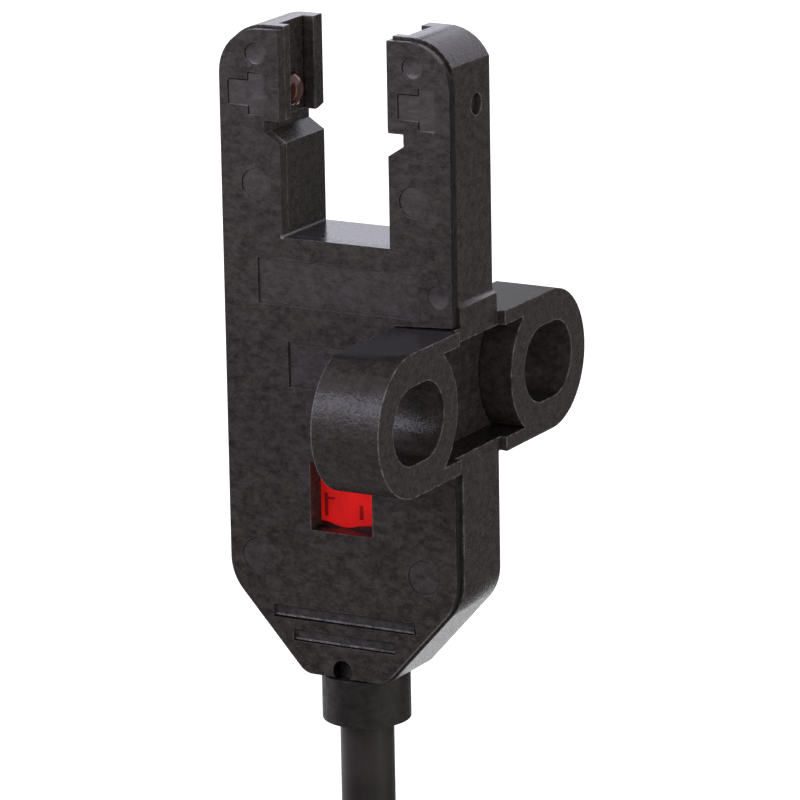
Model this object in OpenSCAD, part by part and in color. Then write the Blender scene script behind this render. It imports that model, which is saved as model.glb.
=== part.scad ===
// Fork-shaped through-beam photoelectric sensor with a side mounting flange and a fixed lead.
// The origin is the middle of the two mounting slots, on the flange face. +X points out of
// that face, -Y out of the front cover, and +Z to the ends of the two arms.
// The modules are drawn from the top left front corner of the body (x right, y back, z up)
// and placed() moves them to the origin above.

/* [Body] */
// Width of the body at the lead end
body_w = 10.8; // [10.4:0.1:12]
// Thickness of the body with its front cover
body_t = 3.6; // [3.6:0.1:4.4]
// Height of the body without the lead bushing
body_h = 27.1; // [26.8:0.1:30]
// Radius of the outer corner of each arm
arm_corner_r = 2.0; // [1:0.1:2.2]
// Height of the taper above the lead end
taper_h = 3.9; // [3.7:0.1:4.3]
// Width of the flat at the lead end
foot_w = 3.8; // [3.8:0.1:5]
// Radius where the sides turn into the taper
taper_r = 2.1; // [0.5:0.1:2.5]
// Radius where the taper turns into the foot
foot_r = 0.8; // [0.2:0.1:1]
// Thickness of the side walls
side_wall = 0.65; // [0.5:0.05:0.7]
// Thickness of the back wall
back_wall = 0.6; // [0.4:0.05:0.7]
// How far the flange side of the body steps in above the flange
side_step = 0.2; // [0.1:0.05:0.25]

/* [Sensing slot] */
// Width of the slot that the target passes through
slot_w = 5.0; // [4.8:0.1:5.2]
// Depth of the slot
slot_depth = 8.6; // [7:0.1:8.7]
// Height of the head at the end of each arm
head_h = 3.85; // [3.6:0.05:4.2]
// Depth of the notch under each head
notch_depth = 0.7; // [0.3:0.1:0.8]
// Height of the notch at its inner wall
notch_h = 0.5; // [0.3:0.1:1]
// Fall of the notch floor towards the slot
notch_fall = 0.45; // [0.1:0.05:0.6]
// Thickness of the lip in front of the lens channel
lip_front = 0.95; // [0.8:0.05:1]
// Thickness of the lip behind the lens channel
lip_back = 0.7; // [0.6:0.05:0.8]
// Depth of the lens channel
channel_depth = 0.5; // [0.3:0.05:0.6]
// Distance of the optical axis below the arm ends
lens_drop = 2.9; // [2.7:0.05:2.95]
// Diameter of each lens
lens_d = 1.4; // [1:0.05:1.5]
// How far each lens dome stands out of the channel floor
lens_out = 0.42; // [0.2:0.02:0.48]
// Diameter of the alignment hole on the outside of each head
side_hole_d = 0.9; // [0.5:0.05:1]
// Depth of the alignment hole
side_hole_depth = 0.3; // [0.1:0.05:0.35]
// Distance of the alignment hole from the front of the cover
side_hole_y = 2.45; // [2:0.05:2.6]

/* [Mounting flange] */
// Thickness of the flange
flange_t = 3.05; // [2.8:0.05:3.3]
// How far the flange face stands out of the body side
flange_proud = 0.3; // [0.2:0.05:0.5]
// Length of the flange, front to back
flange_len = 17.7; // [17.6:0.1:20]
// Height of the flange
flange_h = 5.9; // [5.6:0.1:6.2]
// Distance of the flange middle below the arm ends
flange_drop = 14.6; // [14.2:0.1:14.8]
// Distance of the flange middle behind the front of the cover
flange_y = 1.9; // [1.7:0.1:2.1]
// Distance between the middles of the two mounting slots
hole_pitch = 11.1; // [10.9:0.1:11.2]
// Width of each mounting slot
hole_w = 3.2; // [3:0.1:3.3]
// Length of each mounting slot
hole_len = 4.2; // [3.4:0.1:4.3]
// Width of the wall above and below the middle pocket
rim_wall = 0.6; // [0.4:0.05:0.8]
// Wall between a mounting slot and the middle pocket
ring_wall = 1.15; // [0.9:0.05:1.3]
// Depth of the middle pocket
pocket_depth = 1.5; // [0.8:0.1:1.6]
// How much lower each side of the flange is at its back than at its face
flange_draft = 0.15; // [0.05:0.05:0.2]

/* [Front cover] */
// Thickness of the cover plate
cover_t = 0.5; // [0.45:0.05:0.6]
// How far the cover edge lies inside the case edge
cover_inset = 0.1; // [0.05:0.05:0.2]
// Thickness of the spigot that locates the cover in the case
spigot_t = 0.4; // [0.2:0.05:0.4]
// Clearance between pieces that fit into each other
fit_gap = 0.05; // [0.03:0.01:0.08]
// Width of the large label recess
label_w = 7.4; // [5:0.1:8]
// Height of the large label recess
label_h = 1.9; // [1:0.1:2]
// Distance of the large label recess below the arm ends
label_drop = 9.55; // [9.4:0.05:9.7]
// Width of the small label recess
code_w = 4.7; // [3:0.1:5]
// Height of the small label recess
code_h = 1.9; // [1:0.1:2.2]
// Distance of the small label recess below the arm ends
code_drop = 12.95; // [12.6:0.05:13.2]
// Depth of the label recesses
label_depth = 0.1; // [0.05:0.05:0.2]
// Depth of the two grooves near the lead end
groove_depth = 0.2; // [0.1:0.05:0.3]
// Height of each groove
groove_h = 0.5; // [0.3:0.05:0.55]
// Length of the upper groove
upper_groove_w = 6.6; // [4:0.1:7]
// Length of the lower groove
lower_groove_w = 4.8; // [3:0.1:5]
// Height of the upper groove above the foot of the body
upper_groove_rise = 2.4; // [2.3:0.05:2.8]
// Height of the lower groove above the foot of the body
lower_groove_rise = 1.45; // [1.3:0.05:1.6]
// Diameter of the small hole above the lead
vent_d = 0.9; // [0.8:0.05:1]
// Height of the middle of the small hole above the foot of the cover, which it breaks into
vent_rise = 0.3; // [0.26:0.02:0.34]
// Depth of the sunken marks and ejector discs
mark_depth = 0.06; // [0.04:0.01:0.1]

/* [Indicator] */
// Height of the indicator window
window_h = 2.9; // [2:0.1:3]
// Height of the window above the foot of the body
window_rise = 6.3; // [6.1:0.05:6.4]
// Thickness of the window pane
pane_t = 0.2; // [0.1:0.05:0.25]

/* [Electronics] */
// Thickness of the circuit board
board_t = 0.8; // [0.6:0.05:0.85]
// Width of each lead of the optical packages
pin_w = 0.4; // [0.2:0.05:0.5]
// Thickness of each lead of the optical packages
pin_t = 0.25; // [0.1:0.05:0.3]
// Height of the tall components on the board
chip_t = 0.55; // [0.3:0.05:0.6]

/* [Lead] */
// Diameter of the lead
lead_d = 2.25; // [2:0.05:2.4]
// Diameter of the bushing outside the body
bushing_d = 3.7; // [3:0.1:3.7]
// Length of the bushing outside the body
bushing_out = 2.0; // [1.5:0.1:3]
// Diameter of each insulated core
core_d = 0.6; // [0.4:0.05:0.62]
// Diameter of each bare strand
strand_d = 0.35; // [0.2:0.05:0.4]
// Length of each insulated core beyond the jacket
tail_len = 13; // [8:1:20]
// Length of each stripped end
strip_len = 4; // [2:1:6]

/* [Hidden] */
$fn = 48;
cut = 1;             // how far a cutting shape reaches past a surface
arc_steps = 10;      // steps in a rounded corner of an outline

// Places that several pieces share
mid_x = body_w / 2;
slot_x = mid_x - slot_w / 2;             // the left side of the slot
face_x = body_w + flange_proud;          // the flange face
lug_x = face_x - flange_t;               // the back of the flange
axis_y = (lip_front + body_t - lip_back) / 2;
notch_x = slot_x - notch_depth;
channel_x = slot_x - channel_depth;
inner_y = body_t - back_wall;
seat_y = cover_t + spigot_t;             // the inner face of the cover
taper_x = mid_x - foot_w / 2;
taper_start = body_h - taper_h;
taper_slope = (body_h - taper_start) / taper_x;

// Small shapes on the outside of the case
chamfer_y = 0.5;                         // chamfer under the back of each head
chamfer_z = 0.14;
step_r = 0.3;                            // round at the foot of the step in the flange side
step_end = flange_drop - flange_h / 2 - 1.05;

// Inside of the case
rim_gap = 0.15;                          // room beside the body where the rim is flush with it
bay_skin = 0.4;                          // wall between a lens channel and the package behind it
bay_x = channel_x - bay_skin;
bay_top = lens_drop - 1;
bay_end = head_h - fit_gap;
package_half = 1;                        // half the thickness of an optical package
dome_foot = 0.12;                        // straight part of the lens outside the channel floor
duct_x = notch_x - bay_skin;
chamber_top = slot_depth + side_wall;
shelf_end = flange_drop - flange_h / 2 - bay_skin;
chamber_x = lug_x - fit_gap - side_wall;   // stays clear of the root of the front lug
chamber_end = taper_start - bay_skin;
bushing_neck_d = 2.6;
bushing_flange_w = 3.2;
bushing_flange_h = 1.0;
bushing_y = body_t / 2;
foot_wall = 0.7;
stop_drop = body_h - foot_wall;          // the underside of the bushing's inner flange
core_pitch = core_d + 0.1;

// Shallow discs of the ejector pins on the cover: x, drop and diameter
foot_discs = body_h - 4.9;
ejector_discs = [
    [1.7, 6.5, 1.3], [9.0, 6.6, 1.3], [10.05, 10.4, 0.95], [1.4, foot_discs, 1.5], [9.2, foot_discs, 1.5]
];

// Sunken marks on the heads: width, drop and height of the two boxes of the outline, radius and
// drop of the disc, and where each mark and its disc stand
mark_body = [0.93, 2.26, 1.0];
mark_stem = [0.75, 1.94, 1.7];
mark_disc = [0.46, 1.12];
left_mark = [0.5, 1.8];
right_mark = [8.35, 9.03];

vent_shift = 0.1;                        // the small hole stands left of the middle

// Board and what is on it
board_x0 = side_wall + 0.3;
board_x1 = chamber_x - 0.2;
board_top = chamber_top + 0.2;
board_end = chamber_end - bay_skin;
board_front = axis_y - board_t / 2;
board_back = axis_y + board_t / 2;
pin_x = (side_wall + duct_x) / 2;
pin_end = board_top + 1.6;
board_h = board_end - board_top;
amplifier_drop = board_top + 0.32 * board_h;
transistor_drop = board_top + 0.63 * board_h;
capacitor_drop = board_top + 0.84 * board_h;
resistor = [0.5, 1.0, 0.35];             // width, height and thickness
upper_row = [mid_x - 3.2, board_top + 2.05];   // first of four resistors: x and drop
upper_pitch = 1.3;
lower_row = [mid_x - 2.6, board_top + 6.05];   // first of two resistors
lower_pitch = 3.6;

// The pane lies on the inner face of the cover, and the window is as wide as the room allows
pane_y = seat_y;
pane_edge = 0.35;
pane_room = 0.15;
window_w = 2 * (chamber_x - mid_x - pane_edge - pane_room);
window_drop = body_h - window_rise - window_h;
window_mid = window_drop + window_h / 2;
core_y = board_front - core_d / 2;
core_end = board_end - 0.3;
joint_h = 0.9;                           // height of the solder joint above each core
joint_r = 0.34;

// Lead: where it leaves the bushing in the placed frame, and the points of its route from there
lead_exit = [mid_x - face_x, bushing_y - flange_y, flange_drop - body_h - bushing_out];
lead_start = [[0, 0, 0], [0, 0, -3], [0, 0, -6.5], [0, 0, -10]];
tail_start = [
    [9.1, 0, -60.8], [9.1, 0, -61.8], [8.9, 0, -64], [8.5, 0, -66.2],
    [7.9, 0, -68.4], [7.5, 0, -70.6], [7.3, 0, -72.8], [7.3, 0, -74]
];
lead_route = [for (p = lead_start) lead_exit + p];
tail_route = [for (p = tail_start) lead_exit + p];
lead_sides = 8;
hank_pitch = 2.3;                        // spacing of the turns
hank_rows = 5;
hank_fold_r = 6.8;                       // radius of the inner end loops
hank_top = lead_route[3][2];
hank_run = 34;                           // straight part of each run
hank_waist = 4.6;                        // the outer turns at the tie, from the middle
hank_x = lead_exit[0];
hank_end_r = hank_fold_r + hank_pitch + lead_d / 2;
hank_mid = hank_top - hank_end_r * sin(75);
hank_back = (hank_rows - 1) * hank_pitch + lead_d / 2;
tie_h = 5;
tie_t = 0.6;
tie_slack = 0.5;                         // the band stays clear of the turns at its edges

// Small helpers for outlines with rounded corners: a corner is [x, z, radius]
function unit(v) = v / norm(v);
function corner(a, v, b, r) =
    let (
        p = [v[0], v[1]],
        u = unit([a[0], a[1]] - p),
        w = unit([b[0], b[1]] - p),
        half = acos(u * w) / 2,
        middle = p + unit(u + w) * r / sin(half),
        from = p + u * r / tan(half) - middle,
        to = p + w * r / tan(half) - middle,
        start = atan2(from[1], from[0]),
        turn = (atan2(to[1], to[0]) - start + 540) % 360 - 180
    )
    [for (k = [0:arc_steps]) let (a = start + turn * k / arc_steps) middle + r * [cos(a), sin(a)]];
function rounded(list) =
    let (n = len(list))
    [for (k = [0:n - 1]) each (list[k][2] == 0
        ? [[list[k][0], list[k][1]]]
        : corner(list[(k + n - 1) % n], list[k], list[(k + 1) % n], list[k][2]))];

// Puts a piece from the body's own corner frame into the placed frame
module placed() {
    translate([-face_x, -flange_y, flange_drop]) children();
}

// Extrudes an x-z outline from y0 to y1
module slab(y0, y1) {
    translate([0, y1, 0]) rotate([90, 0, 0]) linear_extrude(y1 - y0) children();
}

// A box between two x, y and z limits
module block(x0, x1, y0, y1, z0, z1) {
    translate([x0, y0, z0]) cube([x1 - x0, y1 - y0, z1 - z0]);
}

// The same shape on both arms
module both_arms() {
    children();
    translate([body_w, 0, 0]) mirror([1, 0, 0]) children();
}

// Half of the fork outline, from the slot floor round the left arm to the foot, inset by i
function left_half(i) = [
    [slot_x, -slot_depth, 0],
    [slot_x, -head_h - notch_h - notch_fall, 0],
    [notch_x, -head_h - notch_h, 0],
    [notch_x, -head_h, 0],
    [slot_x, -head_h, 0],
    [slot_x, -i, 0],
    [i, -i, arm_corner_r - i],
    [i, -taper_start + i * (sqrt(1 + taper_slope * taper_slope) - taper_slope), taper_r],
    [taper_x + i * (sqrt(1 + taper_slope * taper_slope) - 1) / taper_slope, -body_h + i, foot_r]
];
function mirrored(list) = [for (k = [len(list) - 1:-1:0]) [body_w - list[k][0], list[k][1], list[k][2]]];
module fork_outline(i) {
    polygon(rounded(concat(left_half(i), mirrored(left_half(i)))));
}

// Outline of the flange seen from its face, and of one mounting slot
module flange_profile() {
    end_r = flange_h / 2;
    for (s = [-1, 1]) translate([s * (flange_len / 2 - end_r), 0]) circle(end_r);
    square([flange_len - flange_h, flange_h], center = true);
}
module mounting_slot() {
    for (s = [-1, 1]) translate([s * (hole_len - hole_w) / 2, 0]) circle(hole_w / 2);
    square([hole_len - hole_w, hole_w], center = true);
}
module pocket_profile() {
    ring_mid = hole_pitch / 2 + flange_h / 2 - hole_len / 2 - ring_wall;
    difference() {
        square([2 * ring_mid, flange_h - 2 * rim_wall], center = true);
        for (s = [-1, 1]) translate([s * ring_mid, 0]) circle(flange_h / 2);
    }
}
// Turns a y-z profile round the flange middle into a solid from x0 to x1
module across(x0, x1) {
    translate([x0, flange_y, -flange_drop]) rotate([90, 0, 90]) linear_extrude(x1 - x0) children();
}

module flange() {
    difference() {
        across(lug_x, face_x) flange_profile();
        across(lug_x - cut, face_x + cut)
            for (s = [-1, 1]) translate([s * hole_pitch / 2, 0]) mounting_slot();
        block(body_w, face_x + cut, -rim_gap, body_t + rim_gap,
            -flange_drop - flange_h, -flange_drop + flange_h);
        for (s = [-1, 1]) draft_wedge(s);
    }
}

// Takes the draft off the upper (s = 1) or lower (s = -1) side of the flange
module draft_wedge(s) {
    half_h = flange_h / 2;
    back_h = half_h - flange_draft;
    translate([0, 0, -flange_drop]) slab(flange_y - flange_len, flange_y + flange_len) polygon([
        [face_x, s * half_h], [lug_x, s * back_h], [lug_x - cut, s * back_h],
        [lug_x - cut, s * (half_h + cut)], [face_x, s * (half_h + cut)]
    ]);
}

// The room inside the case for the board, the packages and the lead
module case_room() {
    seat_r = bushing_flange_w / 2 + fit_gap;
    neck_r = bushing_neck_d / 2 + fit_gap;
    duct_h = chamber_top + cut - bay_top;
    slab(cover_t - cut, inner_y) {
        for (x = [side_wall, body_w - duct_x])
            translate([x, -chamber_top - cut]) square([duct_x - side_wall, duct_h]);
        for (x = [side_wall, body_w - bay_x])
            translate([x, -bay_end]) square([bay_x - side_wall, bay_end - bay_top]);
        translate([side_wall, -shelf_end]) square([body_w - 2 * side_wall, shelf_end - chamber_top]);
        translate([side_wall, -chamber_end]) square([chamber_x - side_wall, chamber_end - chamber_top]);
        polygon([
            [side_wall, -chamber_end + cut], [side_wall, -chamber_end],
            [mid_x - seat_r, -stop_drop + bushing_flange_h + fit_gap], [mid_x - seat_r, -stop_drop],
            [mid_x + seat_r, -stop_drop], [mid_x + seat_r, -stop_drop + bushing_flange_h + fit_gap],
            [chamber_x, -chamber_end], [chamber_x, -chamber_end + cut]
        ]);
    }
    translate([mid_x, bushing_y, -body_h - cut]) cylinder(r = neck_r, h = foot_wall + 2 * cut);
    block(mid_x - neck_r, mid_x + neck_r, cover_t - cut, bushing_y, -body_h - cut, -stop_drop + cut);
}

// Case: arms, back, side walls and the flange in one moulding
module rear_case() {
    color([0.12, 0.12, 0.13]) placed() difference() {
        union() {
            difference() {
                slab(cover_t, body_t) fork_outline(0);
                side_recess();
            }
            flange();
        }
        case_room();
        across(face_x - pocket_depth, face_x + cut) pocket_profile();
        both_arms() {
            block(channel_x, slot_x + cut, lip_front, body_t - lip_back, -head_h - notch_h / 2, cut);
            translate([bay_x - cut, axis_y, -lens_drop]) rotate([0, 90, 0])
                cylinder(d = lens_d + 2 * fit_gap, h = channel_x - bay_x + 2 * cut);
            head_chamfer();
        }
        side_hole(-cut, side_hole_depth);
        side_hole(body_w - side_step - side_hole_depth, body_w + cut);
    }
}

// The flange side of the body lies further in above the flange, with a round where it steps out
module side_recess() {
    block(body_w - side_step, body_w + cut, cover_t - cut, body_t + cut, -step_end, cut);
    translate([body_w - side_step + step_r, body_t + cut, -step_end]) rotate([90, 0, 0])
        cylinder(r = step_r, h = body_t - cover_t + 2 * cut);
}

// Blind alignment hole in the outside of a head, between two x limits
module side_hole(x0, x1) {
    translate([x0, side_hole_y, -lens_drop]) rotate([0, 90, 0]) cylinder(d = side_hole_d, h = x1 - x0);
}

// Chamfer on the lower back edge of a head
module head_chamfer() {
    translate([notch_x, 0, 0]) rotate([90, 0, 90]) linear_extrude(notch_depth + cut)
        polygon([
            [body_t - chamfer_y, -head_h], [body_t + chamfer_y, -head_h + 2 * chamfer_z],
            [body_t + chamfer_y, -head_h - chamfer_z], [body_t - chamfer_y, -head_h - chamfer_z]
        ]);
}

// Sunken outline of an optical package from x, with a disc above it at its own x
module package_mark(x, disc_x) {
    translate([disc_x, -mark_disc[1]]) circle(mark_disc[0]);
    translate([x, -mark_body[1] - mark_body[2]]) square([mark_body[0] + mark_stem[0], mark_body[2]]);
    translate([x + mark_body[0], -mark_stem[1] - mark_stem[2]]) square([mark_stem[0], mark_stem[2]]);
}

// Front cover: plate, spigot, window opening, recesses and grooves
module front_cover() {
    lug_cut = flange_h / 2 + fit_gap;
    color([0.15, 0.15, 0.16]) placed() difference() {
        union() {
            slab(0, cover_t) fork_outline(cover_inset);
            slab(cover_t, seat_y) translate([side_wall + fit_gap, -chamber_end + fit_gap])
                square([chamber_x - side_wall - 2 * fit_gap, chamber_end - chamber_top - 2 * fit_gap]);
        }
        block(lug_x - fit_gap, body_w + cut, -cut, seat_y + cut,
            -flange_drop - lug_cut, -flange_drop + lug_cut);
        slab(-cut, seat_y + cut)
            translate([mid_x - window_w / 2, -window_drop - window_h]) square([window_w, window_h]);
        slab(-cut, label_depth) {
            translate([mid_x - label_w / 2, -label_drop - label_h]) square([label_w, label_h]);
            translate([mid_x - code_w / 2, -code_drop - code_h]) square([code_w, code_h]);
        }
        slab(-cut, groove_depth) {
            translate([mid_x - upper_groove_w / 2, -body_h + upper_groove_rise])
                square([upper_groove_w, groove_h]);
            translate([mid_x - lower_groove_w / 2, -body_h + lower_groove_rise])
                square([lower_groove_w, groove_h]);
        }
        slab(-cut, mark_depth) {
            package_mark(left_mark[0], left_mark[1]);
            package_mark(right_mark[0], right_mark[1]);
        }
        for (disc = ejector_discs)
            translate([disc[0], mark_depth, -disc[1]]) rotate([90, 0, 0]) cylinder(d = disc[2], h = cut);
        translate([mid_x - vent_shift, cover_t + cut, -body_h + cover_inset + vent_rise]) rotate([90, 0, 0])
            cylinder(d = vent_d, h = cover_t + 2 * cut);
    }
}

// Red pane behind the window opening
module indicator_window() {
    half_w = window_w / 2 + pane_edge;
    color([0.9, 0.08, 0.1]) placed() block(mid_x - half_w, mid_x + half_w, pane_y, pane_y + pane_t,
        -window_drop - window_h - pane_edge, -window_drop + pane_edge);
}

// Optical package of one arm: a moulded block with its lens dome on the slot side
module optical_package() {
    stem = fit_gap + channel_x - bay_x + dome_foot;
    dome_r = dome_radius(lens_d / 2, lens_out - dome_foot);
    block(side_wall + fit_gap, bay_x - fit_gap, axis_y - package_half, axis_y + package_half,
        -bay_end + fit_gap, -bay_top - fit_gap);
    translate([bay_x - fit_gap, axis_y, -lens_drop]) rotate([0, 90, 0]) {
        cylinder(d = lens_d, h = stem);
        translate([0, 0, stem]) intersection() {
            translate([0, 0, lens_out - dome_foot - dome_r]) sphere(dome_r);
            cylinder(d = lens_d, h = lens_out);
        }
    }
}
function dome_radius(half, rise) = (half * half + rise * rise) / (2 * rise);

// The two flat leads of a package, which straddle the board
module package_leads() {
    for (y = [board_front - pin_t, board_back])
        block(pin_x - pin_w / 2, pin_x + pin_w / 2, y, y + pin_t, -pin_end, -bay_end + fit_gap);
}
module emitter_package() {
    color([0.35, 0.03, 0.05]) placed() optical_package();
}
module emitter_leads() {
    color("silver") placed() package_leads();
}
module receiver_package() {
    color([0.3, 0.03, 0.05]) placed() translate([body_w, 0, 0]) mirror([1, 0, 0]) optical_package();
}
module receiver_leads() {
    color("silver") placed() translate([body_w, 0, 0]) mirror([1, 0, 0]) package_leads();
}

// Circuit board with a wide top for the leads of both packages
module circuit_board() {
    color([0.1, 0.35, 0.18]) placed() slab(board_front, board_back) {
        translate([board_x0, -shelf_end + 0.2]) square([body_w - 2 * board_x0, shelf_end - 0.2 - board_top]);
        translate([board_x0, -board_end]) square([board_x1 - board_x0, board_end - board_top]);
    }
}

// A component on the front (side -1) or back (side 1) of the board: middle is [x, drop],
// size is [width, height, thickness]
module on_board(middle, size, side) {
    y = side < 0 ? board_front - size[2] : board_back;
    block(middle[0] - size[0] / 2, middle[0] + size[0] / 2, y, y + size[2],
        -middle[1] - size[1] / 2, -middle[1] + size[1] / 2);
}
module amplifier_ic() {
    color([0.1, 0.1, 0.1]) placed() on_board([mid_x - 0.9, amplifier_drop], [3.0, 3.0, chip_t], 1);
}
module output_transistor() {
    color([0.12, 0.12, 0.12]) placed() on_board([mid_x - 1.9, transistor_drop], [1.3, 2.9, chip_t], 1);
}
module protection_diode() {
    color([0.15, 0.15, 0.15]) placed() on_board([chamber_x - 1.15, transistor_drop], [1.3, 1.8, chip_t], 1);
}
module resistors() {
    color([0.2, 0.2, 0.22]) placed() {
        for (k = [0:3]) on_board([upper_row[0] + k * upper_pitch, upper_row[1]], resistor, -1);
        for (k = [0:1]) on_board([lower_row[0] + k * lower_pitch, lower_row[1]], resistor, -1);
    }
}
module capacitor() {
    color([0.6, 0.5, 0.35]) placed() on_board([mid_x - 0.2, capacitor_drop], [1.6, 0.8, chip_t], 1);
}
module indicator_led() {
    reach = board_front - pane_y - pane_t;
    color([0.95, 0.85, 0.8]) placed() on_board([mid_x, window_mid], [1.6, 0.8, reach], -1);
}

// Cores between the bushing and their solder joints, side by side in front of the board
function core_x(k) = mid_x + (k - 1.5) * core_pitch;
module core(k) {
    placed() translate([core_x(k), core_y, -stop_drop + bushing_flange_h])
        cylinder(d = core_d, h = stop_drop - bushing_flange_h - core_end);
}
module brown_core() {
    color([0.35, 0.2, 0.1]) core(0);
}
module black_core() {
    color([0.1, 0.1, 0.1]) core(1);
}
module blue_core() {
    color([0.1, 0.25, 0.6]) core(2);
}
module pink_core() {
    color([0.85, 0.45, 0.5]) core(3);
}
module solder_joints() {
    color([0.75, 0.75, 0.76]) placed() for (k = [0:3]) intersection() {
        translate([core_x(k), board_front, -core_end + joint_r]) sphere(joint_r);
        block(core_x(k) - 1, core_x(k) + 1, board_front - 1, board_front, -core_end, -core_end + joint_h);
    }
}

// Bushing moulded onto the lead: collar outside, neck in the wall, flange inside
module lead_bushing() {
    color([0.08, 0.08, 0.08]) placed() {
        translate([mid_x, bushing_y, -body_h - bushing_out]) cylinder(d = bushing_d, h = bushing_out);
        translate([mid_x, bushing_y, -body_h]) cylinder(d = bushing_neck_d, h = foot_wall);
        block(mid_x - bushing_flange_w / 2, mid_x + bushing_flange_w / 2, seat_y, inner_y - fit_gap,
            -stop_drop, -stop_drop + bushing_flange_h);
    }
}

// A round tube along a list of points
module tube(path, d) {
    n = len(path);
    way = [for (k = [0:n - 1]) unit(path[min(k + 1, n - 1)] - path[max(k - 1, 0)])];
    rings = [for (k = [0:n - 1]) let (
            u = unit(cross(way[k], [0, 1, 0])),
            v = cross(way[k], u)
        ) each [for (s = [0:lead_sides - 1])
            path[k] + d / 2 * (u * cos(360 * s / lead_sides) + v * sin(360 * s / lead_sides))]];
    sides = [for (k = [0:n - 2], s = [0:lead_sides - 1]) let (
            a = k * lead_sides + s,
            b = k * lead_sides + (s + 1) % lead_sides
        ) each [[a, b, b + lead_sides], [a, b + lead_sides, a + lead_sides]]];
    first = [for (s = [lead_sides - 1:-1:0]) s];
    last = [for (s = [0:lead_sides - 1]) (n - 1) * lead_sides + s];
    polyhedron(rings, concat(sides, [first], [last]));
}
module lead_jacket() {
    color([0.07, 0.07, 0.07]) tube(lead_route, lead_d);
}

// Hank of the lead below the body: an outline with round ends, drawn in at the tie. Its top is
// flat for the lead, and the run that leaves it reaches down to the tail.
module lead_hank() {
    waist = hank_waist + lead_d / 2;
    right = [for (k = [0:12]) [
        hank_end_r + (waist - hank_end_r) * (1 - cos(30 * k)) / 2,
        hank_mid - hank_run * k / 12
    ]];
    left = [for (k = [12:-1:0]) [-right[k][0], right[k][1]]];
    leg = [[hank_end_r, tail_route[0][2]], [hank_end_r - lead_d, tail_route[0][2]]];
    below = [for (k = [3:11]) [0, hank_mid - hank_run] + hank_end_r * [cos(-15 * k), sin(-15 * k)]];
    above = [for (k = [1:11]) if (k != 6) [0, hank_mid] + hank_end_r * [-cos(15 * k), sin(15 * k)]];
    color([0.07, 0.07, 0.07]) translate([hank_x, lead_exit[1], 0]) slab(-lead_d / 2, hank_back)
        polygon(concat(right, leg, below, left, above));
}

// Band round the waist of the hank
module hank_tie() {
    half_w = hank_waist + lead_d / 2 + tie_slack;
    y0 = -lead_d / 2 - fit_gap;
    y1 = hank_back + fit_gap;
    foot_z = hank_mid - hank_run / 2 - tie_h / 2;
    color([0.1, 0.1, 0.1]) translate([hank_x, lead_exit[1], foot_z]) difference() {
        block(-half_w - tie_t, half_w + tie_t, y0 - tie_t, y1 + tie_t, 0, tie_h);
        block(-half_w, half_w, y0, y1, -cut, tie_h + cut);
    }
}
module lead_tail() {
    color([0.07, 0.07, 0.07]) tube(tail_route, lead_d);
}

// Free end: each core bends outwards from the cut jacket on an arc, and ends bare
tail_tip = tail_route[len(tail_route) - 1];
tail_arc_r = 30;
tail_spread = 0.75 * core_pitch;         // how far each core stands from the middle of the jacket
function arc_angle(length) = 180 / PI * length / tail_arc_r;
module tail_arc(k, d, from, length) {
    translate(tail_tip) rotate([0, 0, 45 + 90 * k]) translate([tail_spread + tail_arc_r, 0, 0])
        rotate([-90, 0, 0]) rotate([0, 0, 180 - arc_angle(from + length)])
        rotate_extrude(angle = arc_angle(length)) translate([tail_arc_r, 0]) circle(d = d, $fn = 24);
}
module brown_tail() {
    color([0.35, 0.2, 0.1]) tail_arc(0, core_d, 0, tail_len);
}
module black_tail() {
    color([0.1, 0.1, 0.1]) tail_arc(1, core_d, 0, tail_len);
}
module blue_tail() {
    color([0.1, 0.25, 0.6]) tail_arc(2, core_d, 0, tail_len);
}
module pink_tail() {
    color([0.85, 0.45, 0.5]) tail_arc(3, core_d, 0, tail_len);
}
module bare_strands() {
    color([0.8, 0.45, 0.25]) for (k = [0:3]) tail_arc(k, strand_d, tail_len, strip_len);
}

rear_case();
front_cover();
indicator_window();
emitter_package();
emitter_leads();
receiver_package();
receiver_leads();
circuit_board();
amplifier_ic();
output_transistor();
protection_diode();
resistors();
capacitor();
indicator_led();
solder_joints();
lead_bushing();
brown_core();
black_core();
blue_core();
pink_core();
lead_jacket();
lead_hank();
hank_tie();
lead_tail();
brown_tail();
black_tail();
blue_tail();
pink_tail();
bare_strands();
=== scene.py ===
import math
import bmesh
import bpy
import numpy as np
from mathutils import Matrix, Vector


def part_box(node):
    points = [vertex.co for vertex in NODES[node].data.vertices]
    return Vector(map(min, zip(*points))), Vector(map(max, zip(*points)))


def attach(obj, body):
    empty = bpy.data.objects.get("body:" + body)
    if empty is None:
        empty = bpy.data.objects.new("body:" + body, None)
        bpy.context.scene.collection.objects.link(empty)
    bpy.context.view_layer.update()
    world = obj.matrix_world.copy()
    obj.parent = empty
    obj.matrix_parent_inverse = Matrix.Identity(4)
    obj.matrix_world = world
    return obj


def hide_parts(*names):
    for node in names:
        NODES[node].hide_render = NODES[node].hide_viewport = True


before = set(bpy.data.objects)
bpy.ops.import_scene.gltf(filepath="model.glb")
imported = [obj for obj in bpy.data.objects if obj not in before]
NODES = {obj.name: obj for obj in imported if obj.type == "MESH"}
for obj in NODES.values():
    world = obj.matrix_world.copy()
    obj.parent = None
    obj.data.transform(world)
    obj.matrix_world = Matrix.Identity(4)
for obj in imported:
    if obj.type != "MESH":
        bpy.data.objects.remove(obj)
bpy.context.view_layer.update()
MM = 0.001


# Camera
CAMERA_AT = (0.10322, -0.19187, 0.05675)
CAMERA_RIGHT = (0.87515, 0.48354, -0.01729)
CAMERA_UP = (-0.10788, 0.22983, 0.96723)
CAMERA_BACK = (0.47167, -0.84461, 0.25330)

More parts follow.
